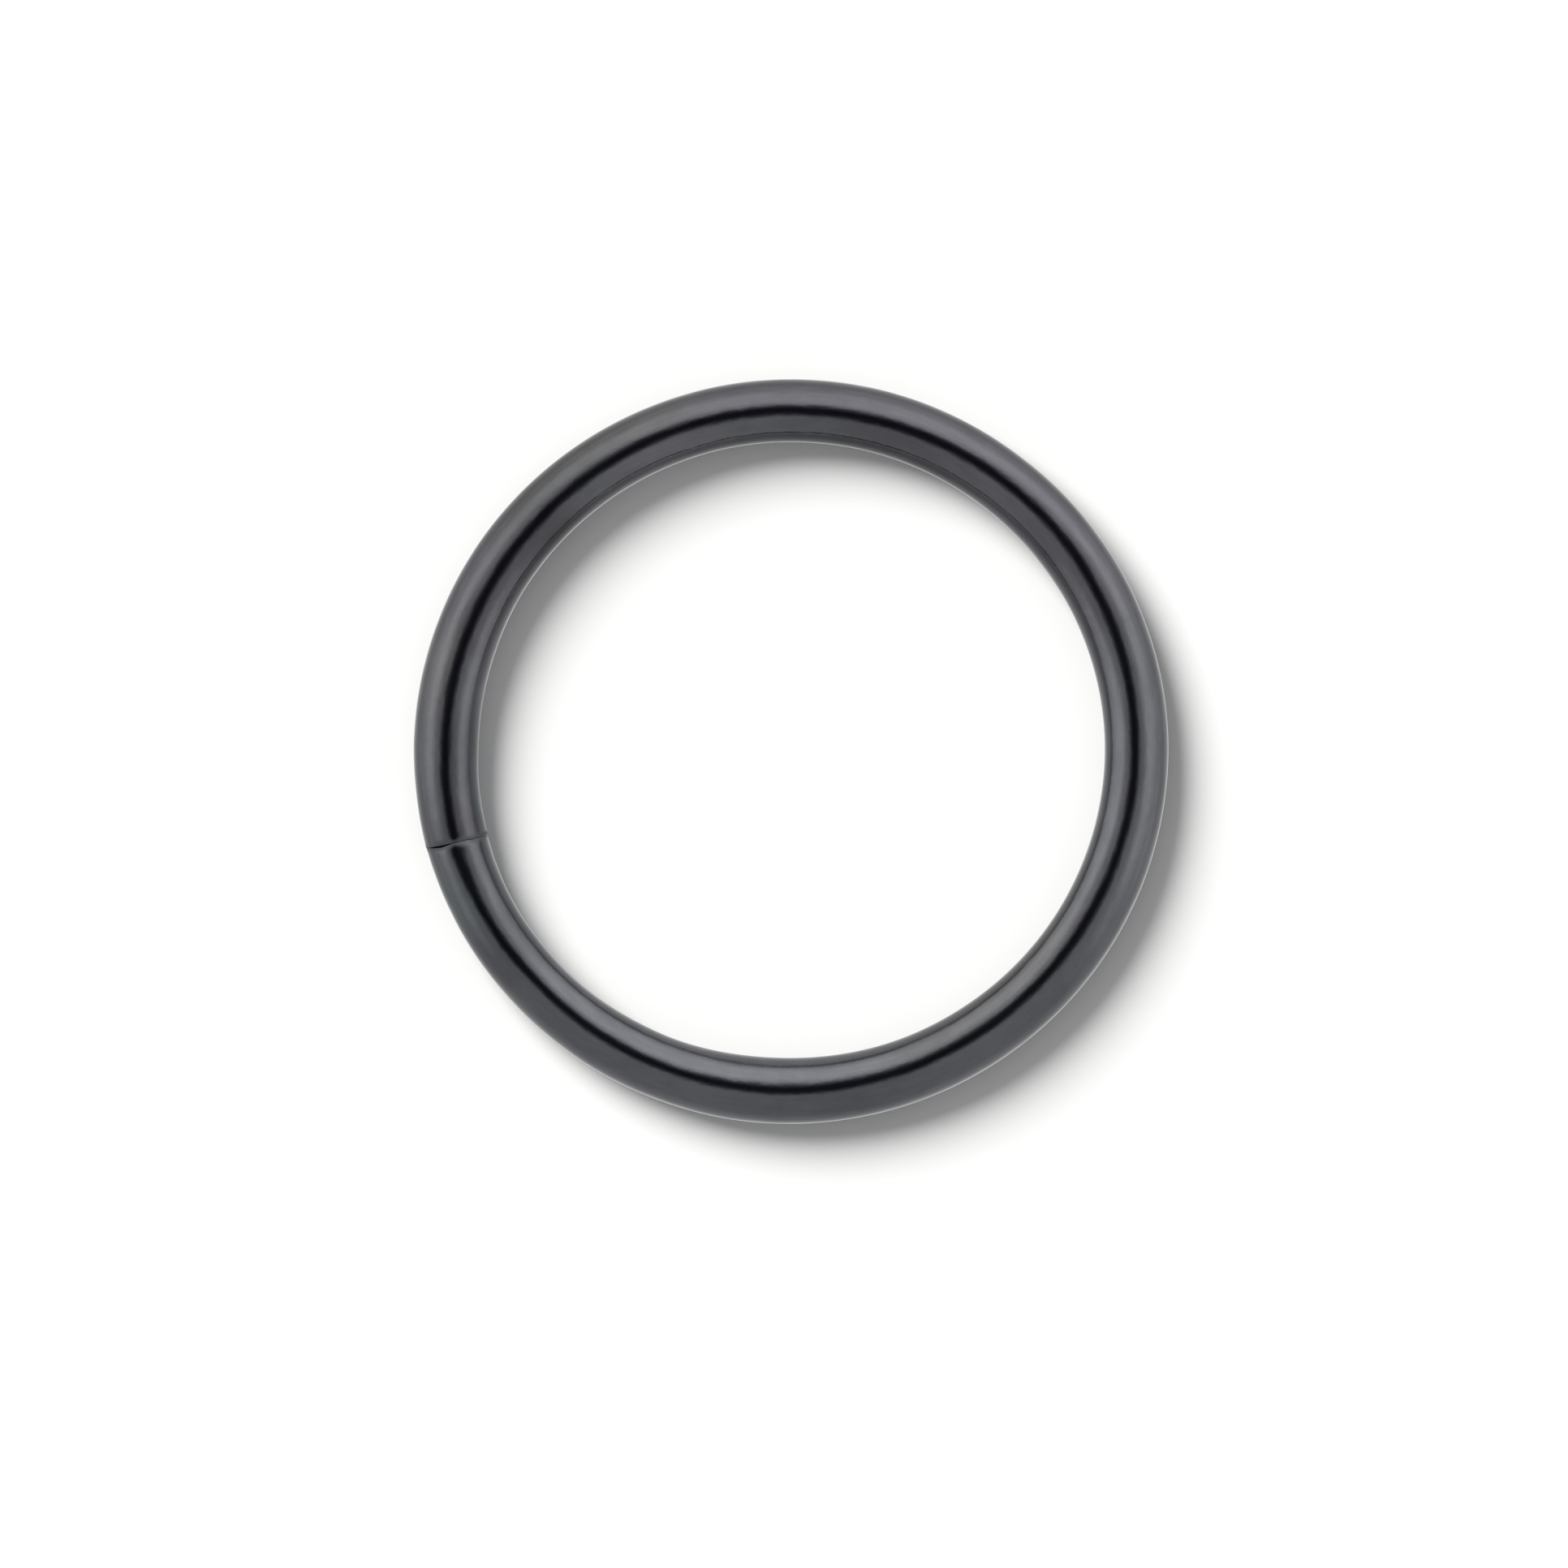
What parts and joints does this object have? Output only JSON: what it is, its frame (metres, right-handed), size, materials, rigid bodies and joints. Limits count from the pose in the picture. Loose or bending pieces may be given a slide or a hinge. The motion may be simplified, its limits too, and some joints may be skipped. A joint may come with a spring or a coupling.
{
  "type": "seam ring",
  "caption": "Continuous ring of round bar for a piercing, in polished black steel, closed by a hairline seam that is twisted open and shut by hand.",
  "frame": {"origin": "on the ring's axis, on the surface that the ring lies on", "axes": "+Z along the ring's axis, up from the surface; +X and +Y across the ring, with the seam 15 degrees past -X towards -Y"},
  "size_m": [0.0122, 0.012, 0.001],
  "materials": {
    "black_steel": "surgical steel polished along the bar to a near mirror, with a black vacuum coating"
  },
  "bodies": {
    "root": {"ring_wire": "black_steel"}
  },
  "joints": []
}
